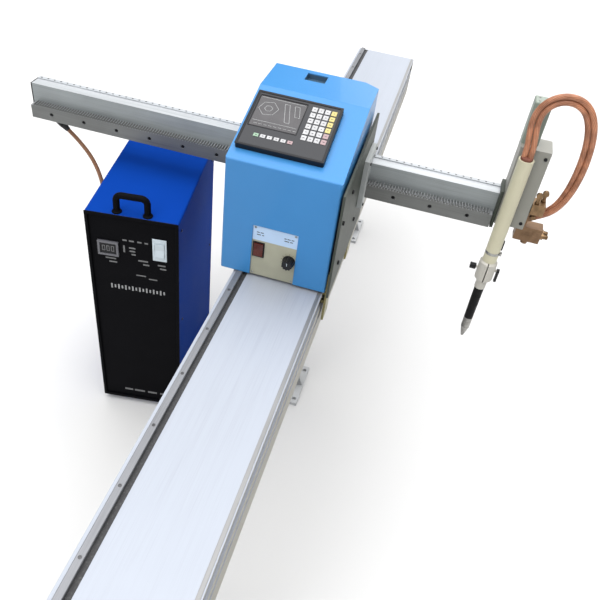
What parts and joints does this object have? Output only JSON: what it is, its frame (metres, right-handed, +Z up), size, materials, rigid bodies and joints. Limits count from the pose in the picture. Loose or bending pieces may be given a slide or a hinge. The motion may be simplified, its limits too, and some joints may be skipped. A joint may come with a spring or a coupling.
{
  "type": "cnc flame cutting machine",
  "caption": "Portable flame cutting machine: a driven carriage with a console on a long rail, a sliding rack beam, a torch on a screw lifter and a separate power unit.",
  "frame": {"origin": "on the floor, at the middle of the middle stand's foot, under the middle of the rail", "axes": "+X along the beam towards the torch, +Y along the rail away from the console's user, +Z up"},
  "size_m": [1.509, 2.712, 1.2392],
  "materials": {
    "rail_aluminium": "brushed",
    "guide_steel": "ground",
    "edge_strip": "satin",
    "stand_paint": "satin powder coat",
    "cover_paint": "satin powder coat",
    "tray_paint": "satin powder coat",
    "plate_steel": "brushed",
    "base_steel": "milled",
    "console_black": "fine texture",
    "screen_glass": "gloss",
    "key_white": "satin",
    "panel_cream": "satin",
    "switch_red": "gloss",
    "knob_black": "satin",
    "bracket_bronze": "passivated",
    "roller_steel": "ground",
    "motor_black": "satin",
    "wheel_rubber": "matte",
    "gear_steel": "machined",
    "guide_block": "satin",
    "driver_box": "satin",
    "beam_aluminium": "anodised",
    "beam_strip": "satin",
    "cap_black": "satin",
    "lifter_grey": "satin",
    "column_grey": "satin",
    "valve_brass": "satin",
    "hose_block": "satin",
    "torch_cream": "satin",
    "insulator_black": "satin",
    "nozzle_metal": "turned",
    "hose_orange": "satin",
    "lead_orange": "satin",
    "unit_blue": "satin powder coat",
    "unit_black": "fine texture",
    "meter_grey": "satin",
    "foot_rubber": "matte"
  },
  "bodies": {
    "rail": {"rail_beam": "rail_aluminium", "guide_rail": "guide_steel", "edge_strip": "edge_strip", "rail_ends": "rail_aluminium", "stand_near": "stand_paint", "stand_middle": "stand_paint", "stand_far": "stand_paint", "unit_case": "unit_blue", "unit_front": "unit_black", "unit_meter": "meter_grey", "unit_handle": "unit_black", "unit_feet": "foot_rubber"},
    "carriage": {"cover": "cover_paint", "top_tray": "tray_paint", "base_plate": "base_steel", "bearing_blocks": "base_steel", "roller_brackets": "bracket_bronze", "side_plate": "plate_steel", "console_case": "console_black", "console_screen": "screen_glass", "console_keys": "key_white", "switch_panel": "panel_cream", "drive_motor": "motor_black", "motor_driver": "driver_box", "motor_bracket": "base_steel", "beam_motor": "motor_black", "beam_guide_right": "guide_block", "beam_guide_left": "guide_block", "supply_lead": "lead_orange", "lead_connector": "cap_black"},
    "beam_arm": {"beam": "beam_aluminium", "beam_rack": "gear_steel", "beam_strip": "beam_strip", "beam_cap": "cap_black", "lifter_mount": "plate_steel", "lifter_body": "lifter_grey", "lifter_column": "column_grey", "gas_manifold": "valve_brass", "hose_block": "hose_block", "lead_gland": "cap_black", "torch_hose_outer": "hose_orange", "torch_hose_inner": "hose_orange"},
    "torch": {"torch_tube": "torch_cream", "torch_carrier": "base_steel", "torch_clamp": "torch_cream", "torch_insulator": "insulator_black", "torch_nozzle": "nozzle_metal"},
    "main_switch_body": {"main_switch": "switch_red"},
    "speed_knob_body": {"speed_knob": "knob_black"},
    "drive_wheel_body": {"drive_wheel": "wheel_rubber"},
    "guide_roller_front_body": {"guide_roller_front": "roller_steel"},
    "guide_roller_back_body": {"guide_roller_back": "roller_steel"},
    "beam_pinion_body": {"beam_pinion": "gear_steel"},
    "lift_screw_body": {"lift_screw": "gear_steel"},
    "valve_handle_front_body": {"valve_handle_front": "valve_brass"},
    "valve_handle_back_body": {"valve_handle_back": "valve_brass"},
    "clamp_knob_body": {"clamp_knob": "knob_black"},
    "clamp_lever_body": {"clamp_lever": "knob_black"},
    "unit_switch_body": {"unit_switch": "key_white"}
  },
  "joints": [
    {"name": "carriage_travel", "type": "slide", "parent": "rail", "child": "carriage", "axis": [0, 1, 0], "range_m": [-0.98, 1.1]},
    {"name": "beam_travel", "type": "slide", "parent": "carriage", "child": "beam_arm", "axis": [1, 0, 0], "range_m": [-0.33, 0.54], "deforming": ["supply_lead", "lead_connector"]},
    {"name": "torch_height", "type": "slide", "parent": "beam_arm", "child": "torch", "axis": [0, 0, 1], "range_m": [-0.012, 0.1], "deforming": ["torch_hose_outer", "torch_hose_inner"]},
    {"name": "drive_wheel_spin", "type": "hinge", "parent": "carriage", "child": "drive_wheel_body", "pos_m": [0, -0.13, 0.7423], "axis": [1, 0, 0], "continuous": true},
    {"name": "roller_front_spin", "type": "hinge", "parent": "carriage", "child": "guide_roller_front_body", "pos_m": [0.1133, -0.258, 0.672], "axis": [0, 0, 1], "continuous": true},
    {"name": "roller_back_spin", "type": "hinge", "parent": "carriage", "child": "guide_roller_back_body", "pos_m": [0.1133, 0.022, 0.672], "axis": [0, 0, 1], "continuous": true},
    {"name": "pinion_spin", "type": "hinge", "parent": "carriage", "child": "beam_pinion_body", "pos_m": [0, -0.011, 0.904], "axis": [0, 1, 0], "continuous": true},
    {"name": "lift_screw_spin", "type": "hinge", "parent": "beam_arm", "child": "lift_screw_body", "pos_m": [0.52, 0.016, 0.96], "axis": [0, 0, 1], "continuous": true},
    {"name": "main_switch_rock", "type": "hinge", "parent": "carriage", "child": "main_switch_body", "pos_m": [-0.058, -0.292, 0.79], "axis": [1, 0, 0], "range_deg": [-8, 8]},
    {"name": "speed_knob_turn", "type": "hinge", "parent": "carriage", "child": "speed_knob_body", "pos_m": [0.023, -0.3, 0.777], "axis": [0, -1, 0], "range_deg": [-140, 140]},
    {"name": "valve_front_turn", "type": "hinge", "parent": "beam_arm", "child": "valve_handle_front_body", "pos_m": [0.587, -0.009, 0.95], "axis": [0, 0, 1], "range_deg": [0, 90]},
    {"name": "valve_back_turn", "type": "hinge", "parent": "beam_arm", "child": "valve_handle_back_body", "pos_m": [0.603, 0.009, 0.95], "axis": [0, 0, 1], "range_deg": [0, 90]},
    {"name": "clamp_knob_turn", "type": "hinge", "parent": "torch", "child": "clamp_knob_body", "pos_m": [0.48, -0.041, 0.723], "axis": [1, 0, 0], "range_deg": [-180, 180]},
    {"name": "clamp_lever_turn", "type": "hinge", "parent": "torch", "child": "clamp_lever_body", "pos_m": [0.552, -0.041, 0.723], "axis": [1, 0, 0], "range_deg": [0, 90]},
    {"name": "unit_switch_rock", "type": "hinge", "parent": "rail", "child": "unit_switch_body", "pos_m": [-0.34746, -0.24551, 0.662], "axis": [0.9893, 0.1461, 0], "range_deg": [-8, 8]}
  ],
  "couplings": [
    {"joint": "drive_wheel_spin", "follows": "carriage_travel", "rad_per_m": -23.809},
    {"joint": "roller_front_spin", "follows": "carriage_travel", "rad_per_m": 90.909},
    {"joint": "roller_back_spin", "follows": "carriage_travel", "rad_per_m": 90.909},
    {"joint": "pinion_spin", "follows": "beam_travel", "rad_per_m": -44.444},
    {"joint": "lift_screw_spin", "follows": "torch_height", "rad_per_m": 628.32}
  ]
}
